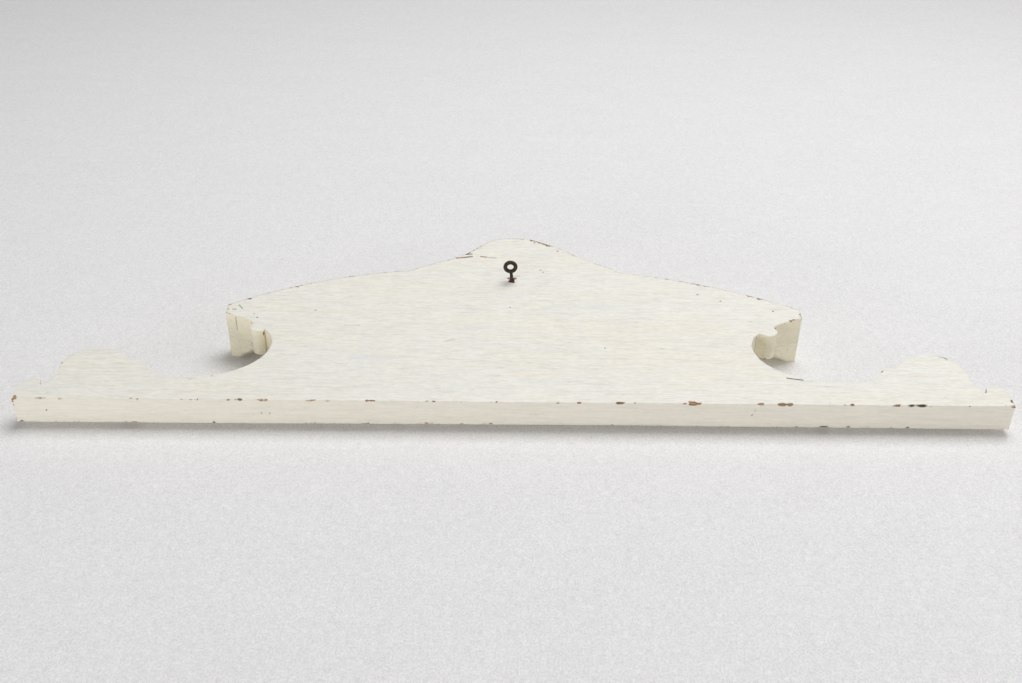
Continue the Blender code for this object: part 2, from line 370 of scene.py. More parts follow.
class MaterialGraph(Graph):
    """A material's node tree."""

    def __init__(self, name: str) -> None:
        """Makes an empty material of that name.

        Args:
            name: Its name.
        """
        self.material = bpy.data.materials.new(name)
        self.material.use_nodes = True
        super().__init__(self.material.node_tree)
        self.tree.nodes.clear()

    def place(self) -> Socket:
        """The point's own place on the object, in metres."""
        return self.node("ShaderNodeTexCoord", output="Object")

    def noise(self, place: Socket, size: Sequence[float], detail: float = 3.0,
              shift: float = 0.0) -> Socket:
        """Noise from 0 to 1.

        Args:
            place: Where it is read.
            size: How long its bumps are along each axis, in metres.
            detail: How many finer layers it has.
            shift: How far it is moved, so that two noises differ.

        Returns:
            The noise.
        """
        scale = tuple(1 / length for length in size)
        spread = self.node("ShaderNodeVectorMath", {"operation": "MULTIPLY_ADD"},
                           {0: place, 1: scale, 2: (shift, shift, shift)})
        inputs = {"Vector": spread, "Scale": 1.0, "Detail": detail, "Roughness": 0.55}
        return self.node("ShaderNodeTexNoise", {}, inputs)

    def layer(self, layer: Layer) -> Socket:
        """The paint layer kept at the vertices."""
        settings = {"attribute_type": "GEOMETRY", "attribute_name": layer.value}
        return self.node("ShaderNodeAttribute", settings, output="Fac")

    def mix(self, share: Value, first: Value, second: Value) -> Socket:
        """Mixes two colours.

        Args:
            share: How much of the second there is, from 0 to 1.
            first: The first colour.
            second: The second colour.

        Returns:
            The mixed colour.
        """
        settings = {"data_type": "RGBA"}
        inputs = {0: share, 6: self.colour(first), 7: self.colour(second)}
        return self.node("ShaderNodeMix", settings, inputs, output=2)

    def scaled(self, colour: Value, factor: Value) -> Socket:
        """The colour made lighter or darker by a factor."""
        inputs = {0: colour, "Scale": factor}
        return self.node("ShaderNodeVectorMath", {"operation": "SCALE"}, inputs)

    @staticmethod
    def colour(value: Value) -> Value:
        """A colour with its alpha, if it is given as three numbers."""
        return (*value, 1.0) if isinstance(value, tuple) and len(value) == 3 else value

    def bump(self, height: Socket, distance: float, strength: float = 1.0) -> Socket:
        """A bumped normal from a height."""
        inputs = {"Height": height, "Distance": distance, "Strength": strength}
        return self.node("ShaderNodeBump", {}, inputs)

    def end(self, shader: Socket) -> bpy.types.Material:
        """Ends the tree in a shader and returns the material.

        Args:
            shader: The shader.

        Returns:
            The material.
        """
        leave = self.tree.nodes.new("ShaderNodeOutputMaterial")
        self.tree.links.new(shader.output, leave.inputs["Surface"])
        return self.material

    def principled(self, inputs: dict[str, Value]) -> bpy.types.Material:
        """Ends the tree in a Principled BSDF and returns the material."""
        return self.end(self.node("ShaderNodeBsdfPrincipled", {}, inputs))


@dataclass(frozen=True)
class OldPaint:
    """Brushed oil paint on wood: chalky, streaked along the board, worn through at the edges."""

    name: str
    white: Colour = srgb(235, 233, 224)
    ivory: Colour = srgb(236, 229, 212)
    thin: Colour = srgb(222, 223, 221)
    side: Colour = srgb(229, 224, 210)
    aged: Colour = srgb(245, 238, 215)
    wood: Colour = srgb(196, 158, 120)
    dark_wood: Colour = srgb(112, 88, 68)
    grime: Colour = srgb(84, 72, 60)
    rust: Colour = srgb(122, 74, 44)
    roughness: float = 0.58
    streak: float = 0.40

    def build(self) -> bpy.types.Material:
        """Makes the material, which reads the paint layers of the mesh.

        Returns:
            The material.
        """
        graph = MaterialGraph(self.name)
        place = graph.place()
        broad = graph.noise(place, (0.30, 0.05, 0.05), 2.0)
        streak = graph.noise(place, (0.12, 0.006, 0.006), 4.0, 3.1)
        hair = graph.noise(place, (0.026, 0.0022, 0.0022), 3.0, 7.7)
        blot = graph.noise(place, (0.035, 0.018, 0.018), 4.0, 5.3)
        speck = graph.noise(place, (0.006, 0.002, 0.002), 2.0, 9.4)
        ivory, side = graph.layer(Layer.IVORY), graph.layer(Layer.SIDE)
        mottled = (broad * 0.5 + streak * 0.5).rise(0.42, 0.66) * 0.6
        tone = graph.mix(mottled, self.white, self.ivory)
        cool = (graph.layer(Layer.THIN) * 0.3 + (blot - 0.5) * 0.9 + (streak - 0.5) * 1.5
                + (hair - 0.5) * 2.2)
        tone = graph.mix(cool.rise(0.05, 0.75), tone, self.thin)
        # The ivory layer on the sides carries yellowed paint and painted warm bounce light, here
        # and in the aged tone.
        warm = ivory * 0.8 + (streak - 0.5) * 0.9 + (blot - 0.5) * 0.6
        tone = graph.mix(warm.rise(0.25, 0.9), tone, self.ivory)
        tone = graph.mix(side * (blot * 0.4 + 0.7), tone, self.side)
        aged = ivory * side + (blot - 0.5) * 0.8
        tone = graph.mix(aged.rise(0.25, 1.0), tone, self.aged)
        brushed = (streak - 0.5) * 0.4 + (hair - 0.5) + (speck - 0.5) * 0.7
        tone = graph.scaled(tone, 1 + brushed * self.streak * (1 - side * 0.45))
        fleck = (speck * 0.6 + hair * 0.4).rise(0.35, 0.27) * 0.16
        tone = graph.mix(fleck, tone, self.grime)
        stain = graph.layer(Layer.RUST) + (blot - 0.5) * 0.5 + (speck - 0.5) * 0.4
        tone = graph.mix(stain.rise(0.12, 0.85) * 0.9, tone, self.rust)
        grain = graph.noise(place, (0.03, 0.0011, 0.0011), 3.0, 1.7)
        wood = graph.mix(grain.rise(0.38, 0.62), self.dark_wood, self.wood)
        gone = graph.layer(Layer.BARE) + (speck - 0.5) * 1.1 + (hair - 0.5) * 0.9
        gone = gone.rise(0.42, 0.60)
        tone = graph.mix(gone, tone, wood)
        # Darkens with the grime layer: real dirt, and painted shade in the hollow under each
        # return.
        dirt = (graph.layer(Layer.GRIME_AND_SHADE) + (speck - 0.5) * 0.4).rise(0.1, 0.8)
        tone = graph.mix(dirt, tone, graph.scaled(self.grime, 0.75))
        height = streak * 0.4 + hair * 0.5 + speck * 0.2 - gone * 0.5
        normal = graph.bump(height, 0.0006, 0.8)
        rough = self.roughness + (hair - 0.5) * 0.2 + gone * 0.2
        return graph.principled({"Base Color": tone, "Roughness": rough, "Normal": normal})


@dataclass(frozen=True)
class RustyIron:
    """Dark iron with a skin of rust."""

    name: str
    iron: Colour = srgb(56, 46, 38)
    rust: Colour = srgb(98, 56, 34)
    roughness: float = 0.62

    def build(self) -> bpy.types.Material:
        """Makes the material.

        Returns:
            The material.
        """
        graph = MaterialGraph(self.name)
        place = graph.place()
        coarse = graph.noise(place, (0.004, 0.004, 0.004), 3.0, 2.0)
        fine = graph.noise(place, (0.0009, 0.0009, 0.0009), 3.0, 4.0)
        rusted = (coarse * 0.7 + fine * 0.3).rise(0.50, 0.66)
        tone = graph.mix(rusted, self.iron, self.rust)
        tone = graph.scaled(tone, 0.8 + fine * 0.4)
        normal = graph.bump(coarse * 0.5 + fine * 0.5, 0.0004, 0.8)
        metal = 0.45 * (1 - rusted)
        rough = self.roughness + rusted * 0.25
        return graph.principled({"Base Color": tone, "Roughness": rough, "Metallic": metal,
                                 "Normal": normal})


@dataclass(frozen=True)
class Linen:
    """The pale cloth that the pediment lies on, which can be seen through from below."""

    name: str
    thread: Colour = srgb(236, 235, 235)
    weave: float = 0.55

    def build(self) -> bpy.types.Material:
        """Makes the material: cloth on its upper side, nothing on its lower side.

        Returns:
            The material.
        """
        graph = MaterialGraph(self.name)
        place = graph.place()
        weave = graph.noise(place, (0.0016, 0.0016, 0.0024), 3.0)
        broad = graph.noise(place, (0.09, 0.09, 0.05), 2.0, 4.0)
        slub = graph.noise(place, (0.006, 0.006, 0.010))
        crease = broad * 0.04 + slub * 0.12
        tone = graph.scaled(self.thread, 0.92 - self.weave / 2 + weave * self.weave + crease)
        cloth = graph.node("ShaderNodeBsdfDiffuse", {}, {"Color": tone, "Roughness": 0.2})
        clear = graph.node("ShaderNodeBsdfTransparent")
        below = graph.node("ShaderNodeNewGeometry", output="Backfacing")
        return graph.end(graph.node("ShaderNodeMixShader", {}, {0: below, 1: cloth, 2: clear}))


class Draft:
    """A mesh in the making: points, the paint's layers at each of them, and faces."""

    def __init__(self) -> None:
        """Starts empty."""
        self.points: list[tuple[float, float, float]] = []
        self.layers: dict[Layer, list[float]] = {layer: [] for layer in Layer}
        self.faces: list[tuple[int, ...]] = []

    def point(self, x: float, y: float, z: float,
              layers: dict[Layer, float] | None = None) -> int:
        """Adds a point.

        Args:
            x: Its place along the board.
            y: Its place through the board.
            z: Its height.
            layers: Its paint layers; one that isn't given is 0.

        Returns:
            Its number.
        """
        self.points.append((x, y, z))
        for layer, values in self.layers.items():
            values.append(float((layers or {}).get(layer, 0.0)))
        return len(self.points) - 1

    def bands(self, rows: Sequence[Sequence[int]], closed: bool = True) -> None:
        """Joins each row of points to the next by four-sided faces.

        Args:
            rows: Rows of point numbers, all of one length.
            closed: Whether a row's end joins its start.
        """
        count = len(rows[0])
        for first, second in zip(rows, rows[1:]):
            for i in range(count if closed else count - 1):
                j = (i + 1) % count
                self.faces.append((first[i], first[j], second[j], second[i]))

    def fill(self, rims: Sequence[Sequence[int]], spots: np.ndarray,
             make: Callable[[float, float], int]) -> None:
        """Fills an upright flat region with triangles.

        Args:
            rims: Rows of point numbers: the outer rim, then the rim of each hole.
            spots: Places inside it as (x, z) rows.
            make: Adds the point for a place and returns its number.
        """
        known = [number for rim in rims for number in rim]
        flat = [Vector((self.points[number][0], self.points[number][2])) for number in known]
        edges = []
        for rim in rims:
            start = known.index(rim[0])
            edges += [(start + i, start + (i + 1) % len(rim)) for i in range(len(rim))]
        flat += [Vector(spot) for spot in spots.tolist()]
        places, _, triangles, origins, _, _ = geometry.delaunay_2d_cdt(flat, edges, [], 1, 1e-8)
        numbers: dict[int, int] = {}
        holes = [np.array([flat[known.index(number)] for number in rim]) for rim in rims[1:]]
        for triangle in triangles:
            middle = sum((places[i] for i in triangle), Vector((0, 0))) / 3
            near = [hole for hole in holes if near_to(hole, middle)]
            if any(encloses(hole, np.array([middle]))[0] for hole in near):
                continue
            for i in triangle:
                if i not in numbers:
                    rim_origins = [o for o in origins[i] if o < len(known)]
                    numbers[i] = known[rim_origins[0]] if rim_origins else make(*places[i])
            self.faces.append(tuple(numbers[i] for i in triangle))

    def build(self, name: str, finish: bpy.types.Material) -> bpy.types.Object:
        """Makes the object.

        Args:
            name: Its name.
            finish: Its material.

        Returns:
            The object, in the scene.
        """
        mesh = bpy.data.meshes.new(name)
        mesh.from_pydata(self.points, [], self.faces)
        for layer, values in self.layers.items():
            mesh.attributes.new(layer.value, "FLOAT", "POINT").data.foreach_set("value", values)
        with edited(mesh) as shape:
            loose = [vert for vert in shape.verts if not vert.link_faces]
            bmesh.ops.delete(shape, geom=loose, context="VERTS")
            bmesh.ops.recalc_face_normals(shape, faces=shape.faces)
        mesh.shade_smooth()
        mesh.set_sharp_from_angle(angle=math.radians(WOOD_SHARP))
        mesh.materials.append(finish)
        return placed(name, mesh)


def encloses(loop: np.ndarray, places: np.ndarray) -> np.ndarray:
    """Which places lie inside a closed loop of points.

    Args:
        loop: The loop, as (x, z) rows.
        places: The places, as (x, z) rows.

    Returns:
        True for each place that lies inside.
    """
    inside = np.zeros(len(places), bool)
    x, z = places[:, 0], places[:, 1]
    for (ax, az), (bx, bz) in zip(loop, np.roll(loop, -1, axis=0)):
        if az != bz:
            crosses = (az > z) != (bz > z)
            inside ^= crosses & (x < (bx - ax) * (z - az) / (bz - az) + ax)
    return inside


def near_to(loop: np.ndarray, place: Vector) -> bool:
    """Whether a place lies within the box round a loop."""
    low, high = loop.min(axis=0), loop.max(axis=0)
    return bool(low[0] <= place[0] <= high[0] and low[1] <= place[1] <= high[1])


def rim_loops(mesh: bpy.types.Mesh) -> list[list[Vector]]:
    """The closed loops where a solid's flat back meets its sides.

    Args:
        mesh: The solid's mesh.

    Returns:
        The loops as (x, z) points, longest first.
    """
    shape = bmesh.new()
    shape.from_mesh(mesh)
    bmesh.ops.remove_doubles(shape, verts=shape.verts, dist=1e-5)
    partners: dict[bmesh.types.BMVert, list[bmesh.types.BMVert]] = {}
    for edge in shape.edges:
        level = all(abs(vert.co.y) < 1e-4 for vert in edge.verts)
        flat = [abs(face.normal.y) > 0.9 for face in edge.link_faces]
        if level and len(flat) == 2 and flat[0] != flat[1]:
            for one, other in (edge.verts, reversed(edge.verts)):
                partners.setdefault(one, []).append(other)
    loops = []
    while partners:
        start = next(iter(partners))
        loop, here = [], start
        while here in partners:
            loop.append(Vector((here.co.x, here.co.z)))
            onward = [vert for vert in partners.pop(here) if vert in partners]
            here = onward[0] if onward else start
        loops.append(loop)
    shape.free()
    return sorted(loops, key=len, reverse=True)


class Outline:
    """The board's outline as closely spaced points: its corners kept, its round runs smoothed."""

    CORNER = math.radians(20)

    def __init__(self, knots: Sequence[Vector], spacing: float) -> None:
        """Resamples a loop, and turns it anticlockwise.

        Args:
            knots: The loop's points, as (x, z).
            spacing: About how far apart its new points lie, in metres.
        """
        area = sum(a.x * b.y - b.x * a.y for a, b in zip(knots, [*knots[1:], knots[0]]))
        knots = list(knots) if area > 0 else list(reversed(knots))
        self.points = self._resampled(knots, spacing)
        count = len(self.points)
        self.inward: list[Vector] = []
        self.along: list[float] = [0.0]
        for i, point in enumerate(self.points):
            before = (point - self.points[i - 1]).normalized()
            onward = self.points[(i + 1) % count] - point
            self.along.append(self.along[-1] + onward.length)
            mean = (before + onward.normalized()).normalized()
            self.inward.append(Vector((-mean.y, mean.x)) / max(0.6, mean.dot(before)))
        self.length = self.along.pop()

    def _resampled(self, knots: list[Vector], spacing: float) -> list[Vector]:
        """Lays points along a smooth curve through the knots, which keeps each sharp corner.

        Args:
            knots: The loop's points, as (x, z).
            spacing: About how far apart the new points lie, in metres.

        Returns:
            The new points.
        """
        count = len(knots)
        steps = [knots[(i + 1) % count] - knots[i] for i in range(count)]
        points = []
        for i, step in enumerate(steps):
            a, b = knots[i], knots[(i + 1) % count]
            slope_a = self._slope(steps[i - 1], step) or step.normalized()
            slope_b = self._slope(step, steps[(i + 1) % count]) or step.normalized()
            pieces = max(1, round(step.length / spacing))
            for k in range(pieces):
                t = k / pieces
                bend = (t ** 3 - 2 * t ** 2 + t) * slope_a + (t ** 3 - t ** 2) * slope_b
                points.append((2 * t ** 3 - 3 * t ** 2 + 1) * a + (3 * t ** 2 - 2 * t ** 3) * b
                              + step.length * bend)
        return points

    def _slope(self, before: Vector, after: Vector) -> Vector | None:
        """The curve's direction at a knot.

        Args:
            before: The step that leads to the knot.
            after: The step that leaves it.

        Returns:
            The direction, or None at a sharp corner.
        """
        if before.angle(after) > self.CORNER:
            return None
        return (before + after) / (before.length + after.length)

    def nearest(self, place: Vector) -> int:
        """The number of the point nearest to a place."""
        return min(range(len(self.points)), key=lambda i: (self.points[i] - place).length_squared)

    def distances(self, index: int) -> np.ndarray:
        """How far each point is from one of them, measured along the outline."""
        gaps = np.abs(np.array(self.along) - self.along[index])
        return np.minimum(gaps, self.length - gaps)


@dataclass(frozen=True)
class Chip:
    """A stretch of an arris that is chipped or splintered.

    Attributes:
        spot: Its middle, in the photograph's pixels.
        half: Half its length, in millimetres.
        width: How far it reaches over the flat face, in millimetres.
        depth: How far it reaches down the side, in millimetres.
        bare: How much bare wood shows.
        grime: How much dirt lies in it.
        arris: Which arris it is in.
    """

    spot: Spot
    half: float
    width: float
    depth: float
    bare: float = 0.8
    grime: float = 0.0
    arris: Arris = Arris.BACK


@dataclass(frozen=True)
class Mark:
    """A hole, a scratch, a stain or a patch on the board's back.

    Attributes:
        layer: The paint layer that it shows in.
        start: One end, in the photograph's pixels.
        end: The other end.
        reach: How far it reaches round the line between the ends, in millimetres.
        strength: How strong it is in its layer.
        depth: How deep it is sunk, in millimetres.
    """

    layer: Layer
    start: Spot
    end: Spot
    reach: float
    strength: float = 1.0
    depth: float = 0.0

    def line(self, view: ViewPoint) -> tuple[np.ndarray, np.ndarray]:
        """Its two ends on the back, as (x, z)."""
        return np.array(view.on_back(self.start)), np.array(view.on_back(self.end))

    @property
    def small(self) -> bool:
        """Whether it is small enough to need finer points of its own."""
        return self.reach < SMALL_MARK

    def amount(self, places: np.ndarray, view: ViewPoint) -> np.ndarray:
        """How strongly it is there.

        Args:
            places: The (x, z) places.
            view: The camera that its spots are seen by.

        Returns:
            Its strength at each place, from 0 to 1.
        """
        first, second = self.line(view)
        run = second - first
        share = np.clip((places - first) @ run / max(run @ run, 1e-12), 0, 1)
        gap = np.linalg.norm(places - first - share[:, None] * run, axis=1)
        core = 0.35 if self.small else 0.0
        return 1 - smoothstep(core, 1.0, gap / (self.reach * MILLIMETRE))

    def spots(self, view: ViewPoint) -> list[np.ndarray]:
        """Extra places for the mesh round a small mark, so that it has a clean shape.

        Args:
            view: The camera that its spots are seen by.

        Returns:
            Places along its line and on rings round it, as (x, z).
        """
        first, second = self.line(view)
        run = second - first
        length = float(np.linalg.norm(run))
        reach = self.reach * MILLIMETRE
        steps = round(length / reach)
        ahead = run / length if length > 1e-6 else np.array((1.0, 0.0))
        aside = np.array((-ahead[1], ahead[0]))
        places = [first + run * k / max(1, steps) for k in range(steps + 1)]
        for ring in MARK_RINGS:
            for k in range(RING_POINTS):
                angle = math.tau * (k + 0.5 * ring) / RING_POINTS
                end = second if math.cos(angle) > 0 else first
                turned = ahead * math.cos(angle) + aside * math.sin(angle)
                places.append(end + reach * ring * turned)
            for k in range(1, steps):
                middle = first + run * k / steps
                places += [middle + aside * reach * ring, middle - aside * reach * ring]
        return places


def dot(spot: Spot, reach: float, strength: float = 1.0, depth: float = 0.0) -> Mark:
    """A dirty pinhole or speck at a spot."""
    return Mark(Layer.GRIME_AND_SHADE, spot, spot, reach, strength, depth)


# The chips and splinters along the arrises.
CHIPS = (
    Chip((15, 399), 5, 1.4, 1.2, 0.9, 0.3), Chip((57, 398), 3, 0.7, 0.5, 0.5),
    Chip((97, 398), 3, 0.6, 0.4, 0.4), Chip((137, 398), 4, 0.7, 0.5, 0.6),
    Chip((197, 398), 4, 0.8, 0.6, 0.7), Chip((239, 399), 7, 1.0, 0.9, 1.0),
    Chip((262, 399), 8, 1.0, 0.8, 1.0), Chip((313, 399), 6, 0.8, 0.6, 0.7),
    Chip((368, 399), 6, 1.0, 0.8, 1.0), Chip((427, 399), 4, 0.7, 0.5, 0.7),
    Chip((448, 399), 2, 0.5, 0.4, 0.6), Chip((462, 399), 2, 0.5, 0.4, 0.6),
    Chip((497, 400), 3, 0.6, 0.4, 0.6), Chip((580, 400), 4, 0.7, 0.6, 0.7),
    Chip((620, 400), 8, 0.8, 0.9, 0.8, 0.5), Chip((693, 400), 13, 1.6, 1.2, 1.2),
    Chip((760, 400), 6, 0.8, 0.6, 0.7), Chip((785, 400), 14, 1.0, 0.8, 1.0),
    Chip((895, 401), 9, 0.8, 0.6, 0.6), Chip((1010, 401), 5, 1.2, 1.0, 0.8, 0.6),
    Chip((22, 424), 7, 0.9, 1.5, 1.0, 0.1, Arris.FRONT),
    Chip((125, 425), 25, 0.4, 0.8, 0.8, 0.0, Arris.FRONT),
    Chip((214, 425), 2, 0.9, 1.6, 0.4, 1.0, Arris.FRONT),
    Chip((823, 428), 6, 0.8, 1.5, 0.4, 0.9, Arris.FRONT),
    Chip((848, 429), 2, 0.9, 1.6, 0.4, 1.0, Arris.FRONT),
    Chip((906, 429), 3, 0.8, 1.5, 0.4, 1.0, Arris.FRONT),
    Chip((966, 430), 2, 0.8, 1.5, 0.4, 1.0, Arris.FRONT), Chip((848, 400), 8, 0.7, 0.7, 0.7),
    Chip((916, 401), 14, 0.6, 0.6, 0.4, 0.8), Chip((41, 398), 11, 0.4, 0.4, 0.35, 0.3),
    Chip((537, 243), 32, 1.6, 0.6, 0.8), Chip((485, 252), 14, 1.0, 0.5, 0.75),
    Chip((522, 241), 14, 1.4, 0.4, 0.5), Chip((468, 254), 8, 1.6, 0.6, 1.1, 0.4),
    Chip((668, 280), 13, 0.7, 0.5, 0.9), Chip((700, 287), 19, 0.6, 0.4, 0.5, 0.6),
    Chip((749, 296), 6, 0.8, 0.6, 1.1), Chip((760, 298), 5, 0.8, 0.6, 0.3, 0.9),
    Chip((248, 297), 3, 0.7, 0.6, 0.3, 0.9), Chip((295, 288), 48, 0.5, 0.4, 0.3, 0.45),
    Chip((92, 348), 6, 0.6, 0.4, 0.3, 0.6), Chip((942, 359), 9, 0.6, 0.4, 0.3, 0.6),
)

# The dirty crevices of the sawn profile: a spot on the back's rim, their strength, and the share of
# the side that they run down.
CREVICES = (
    ((236, 315.5), 0.8, 0.75), ((252.5, 321), 0.9, 0.15), ((263.5, 330), 0.8, 0.2),
    ((271, 352), 0.8, 1.0), ((777.5, 326.5), 1.0, 0.12), ((759, 336), 0.45, 1.0),
)

# The pinholes and specks on the lower edge, in the photograph's pixels.
PINHOLES = (
    (252.5, 412.5), (258, 412.5), (261.5, 413), (269.8, 413), (46.3, 410), (755, 411), (752, 415),
    (923.7, 413.3),
)

# The wear of the front arris along the lower edge: places in metres, and the wear in millimetres.
LOWER_WEAR = ((-0.5, -0.3, -0.09, 0.11, 0.3, 0.5), (1.6, 2.2, 3.4, 2.0, 0.4, 0.0))

# The holes, scratches, stains and greyed patches on the back.
MARKS = (
    dot((257, 317), 1.3, 1.0, 0.9), dot((773, 311), 1.3, 1.0, 0.9), dot((510, 307), 1.2, 0.9, 0.8),
    Mark(Layer.GRIME_AND_SHADE, (540, 270), (541, 270), 1.1, 0.7, 0.5), dot((543, 272), 1.2, 0.8, 0.6),
    dot((605, 348), 1.1, 0.8, 0.6), dot((534.5, 242.5), 1.5, 1.0, 0.7),
    dot((557.5, 251), 1.4, 1.0, 0.7), Mark(Layer.GRIME_AND_SHADE, (513, 281.5), (513.5, 282), 1.9, 1.1, 1.4),
    Mark(Layer.GRIME_AND_SHADE, (315, 310), (316, 310), 1.2, 0.6, 0.3),
    Mark(Layer.GRIME_AND_SHADE, (345, 325), (360, 325), 1.1, 0.35, 0.15),
    Mark(Layer.GRIME_AND_SHADE, (445, 341), (455, 339), 1.2, 0.4, 0.2),
    Mark(Layer.GRIME_AND_SHADE, (697, 294.5), (698, 294.5), 1.1, 0.8, 0.3),
    Mark(Layer.GRIME_AND_SHADE, (720, 301), (721, 301), 1.1, 0.7, 0.3),
    Mark(Layer.GRIME_AND_SHADE, (211, 375.5), (212, 375.5), 1.6, 0.5, 0.6),
    Mark(Layer.GRIME_AND_SHADE, (787, 378), (803, 380), 1.2, 0.8, 0.4),
    Mark(Layer.GRIME_AND_SHADE, (239, 304.5), (242.5, 308.5), 0.8, 0.6, 0.4),
    Mark(Layer.GRIME_AND_SHADE, (232.5, 309), (236, 309), 1.0, 0.7, 0.4),
    Mark(Layer.BARE, (457, 258), (472, 256.5), 1.7, 1.0, 0.3),
    Mark(Layer.GRIME_AND_SHADE, (464, 254.5), (472, 254), 1.2, 0.8, 0.3),
    Mark(Layer.BARE, (481, 256.5), (486, 257), 1.6, 1.0, 0.3),
    Mark(Layer.GRIME_AND_SHADE, (487, 257), (496, 258), 1.0, 0.5, 0.2),
    Mark(Layer.RUST, (505, 278), (519, 276), 3.0, 0.3),
    Mark(Layer.RUST, (509, 278.5), (515, 278.5), 3.0, 1.0),
    Mark(Layer.RUST, (512, 281), (513, 285), 4.5, 0.25),
    Mark(Layer.GRIME_AND_SHADE, (228, 309), (229, 309), 1.1, 0.7, 0.3), dot((254, 313.5), 1.0, 0.8, 0.5),
    dot((266, 329.5), 0.9, 0.5), Mark(Layer.THIN, (395, 302), (410, 302), 7),
    Mark(Layer.THIN, (350, 358), (400, 357), 8), Mark(Layer.THIN, (500, 295), (520, 295), 9),
    Mark(Layer.THIN, (545, 308), (620, 307), 9), Mark(Layer.THIN, (540, 349), (600, 349), 6),
    Mark(Layer.THIN, (530, 382), (580, 382), 7), Mark(Layer.THIN, (24, 388), (56, 388), 9),
    Mark(Layer.THIN, (115, 364), (130, 364), 8), Mark(Layer.THIN, (262, 318), (300, 322), 9, 0.7),
    Mark(Layer.THIN, (480, 268), (500, 270), 5, 0.6), Mark(Layer.IVORY, (510, 374), (560, 374), 7),
    Mark(Layer.IVORY, (300, 308), (400, 309), 6, 0.7),
    Mark(Layer.IVORY, (470, 268), (496, 268), 6, 0.7),
    Mark(Layer.IVORY, (640, 330), (720, 332), 9, 0.6),
)


@dataclass
class BackBoard:
    """The sawn board: its outline lofted round worn arrises, and its back marked by wear.

    Attributes:
        node: The solid that it dresses.
        view: The camera that its wear is placed by.
        finish: Its paint.
        thickness: How thick it is.
        spacing: How far apart the outline's points lie.
        side_rings: How many bands the sawn side has.
        arris_rings: How many bands an arris has.
        arris_width: How wide a softened arris is.
        back_grid: How far apart the points of the back lie.
        front_grid: How far apart the points of the front lie.
        hole_depth: How deep the hole of the screw eye is.
        glued: The height above which the moulding covers the front arris.
        foot: The height of the lower edge.
        foot_zone: How far above it the points of the lower edge can lie.
        pin: How far a pinhole in the lower edge reaches.
        bare_end: Where bare wood starts and is full on the end's arris, along X.
    """

    node: bpy.types.Object
    view: ViewPoint
    finish: OldPaint = field(default_factory=lambda: OldPaint(Slot.BOARD.value))
    thickness: float = 0.031
    spacing: float = 0.0014
    side_rings: int = 14
    arris_rings: int = 4
    arris_width: float = 0.0006
    back_grid: float = 0.0032
    front_grid: float = 0.011
    hole_depth: float = 0.0154
    glued: float = -0.012
    foot: float = -0.150
    foot_zone: float = 0.0015
    pin: float = 0.0016
    bare_end: tuple[float, float] = (0.4975, 0.4990)

    def __post_init__(self) -> None:
        """Reads the outline and the screw's hole from the solid."""
        loops = rim_loops(self.node.data)
        self.outline = Outline(loops[0], self.spacing)
        self.hole = loops[1] if len(loops) > 1 else []
        self.pins = [self.view.seen(spot, 2, self.foot) for spot in PINHOLES]
        self.dirty: dict[int, list[tuple[float, float]]] = {}
        for spot, strength, run in CREVICES:
            middle = self.outline.nearest(self.view.on_back(spot))
            for step, share in ((-1, 0.3), (0, 1.0), (1, 0.3)):
                index = (middle + step) % len(self.outline.points)
                self.dirty.setdefault(index, []).append((strength * share, run))

    def relief(self, x: float, z: float) -> float:
        """How far the planed and painted back stands off its plane, without the marks.

        Args:
            x: A place along the board.
            z: Its height.

        Returns:
            The distance, in metres.
        """
        plane = 0.00012 * ripple(x, 0, z, (0.18, 1, 0.022), 3.0)
        brush = 0.00004 * ripple(x, 0, z, (0.05, 1, 0.006), 8.0)
        return plane + brush

    def rough(self, size: float, seed: float) -> np.ndarray:
        """Noise from -1 to 1 at each point of the outline, whose bumps have the given size."""
        return np.array([ripple(p.x, 0, p.y, (size, 1, size), seed) for p in self.outline.points])

    def wear(self, arris: Arris) -> dict[str, np.ndarray]:
        """The state of an arris.

        Args:
            arris: Which of the two.

        Returns:
            Its width, depth, chipping, bareness and grime at each point of the outline.
        """
        x, z = np.array(self.outline.points).T
        seed = 4.0 if arris is Arris.BACK else 11.0
        rough, fine = self.rough(0.012, seed), self.rough(0.004, seed + 5)
        width = self.arris_width * (1 + 0.6 * rough + 0.5 * fine)
        seen, upper = np.ones(len(x)), np.zeros(len(x))
        if arris is Arris.BACK:
            upper = smoothstep(-0.02, 0.02, z)
        else:
            width += np.interp(x, *LOWER_WEAR) * MILLIMETRE * (z < self.foot + 0.0001)
            seen = 1 - 0.9 * smoothstep(self.glued - 0.01, self.glued, z)
            width *= seen
        state = {"width": width, "depth": width.copy(), "chipped": np.zeros(len(x)),
                 "bare": (0.2 + 0.3 * rough + 0.3 * fine) * seen + 0.12 * upper,
                 "grime": (0.05 + 0.1 * fine) * seen + 0.28 * upper}
        for chip in CHIPS:
            if chip.arris is not arris:
                continue
            place = self.view.on_back(chip.spot, self.thickness * arris.value)
            gap = self.outline.distances(self.outline.nearest(place)) / (chip.half * MILLIMETRE)
            ragged = np.clip(0.85 + 0.5 * rough + 0.9 * fine, 0.1, 1.3)
            there = (1 - smoothstep(0.3, 1.0, gap)) * ragged
            for key, amount in (("width", chip.width * MILLIMETRE * there),
                                ("depth", chip.depth * MILLIMETRE * there),
                                ("chipped", np.clip(there, 0, 1)),
                                ("bare", chip.bare * there), ("grime", chip.grime * there)):
                state[key] = np.maximum(state[key], amount)
        return state

    @staticmethod
    def arris_section(state: dict[str, np.ndarray], i: int, share: float) -> tuple[float, float]:
        """The arris' section at a point of the outline: round where worn, hollow where chipped.

        Args:
            state: The arris' state.
            i: The point's number.
            share: How far round the arris, from the flat at 0 to the side at 1.

        Returns:
            How far in from the side, and how far down from the flat.
        """
        width, depth, chipped = state["width"][i], state["depth"][i], state["chipped"][i]
        turn = share * math.pi / 2
        sink = 1 + 0.22 * math.sin(math.pi * share)
        inset = (1 - chipped) * (1 - math.sin(turn)) + chipped * (1 - share) * sink
        drop = (1 - chipped) * (1 - math.cos(turn)) + chipped * share * sink
        return width * inset, depth * drop

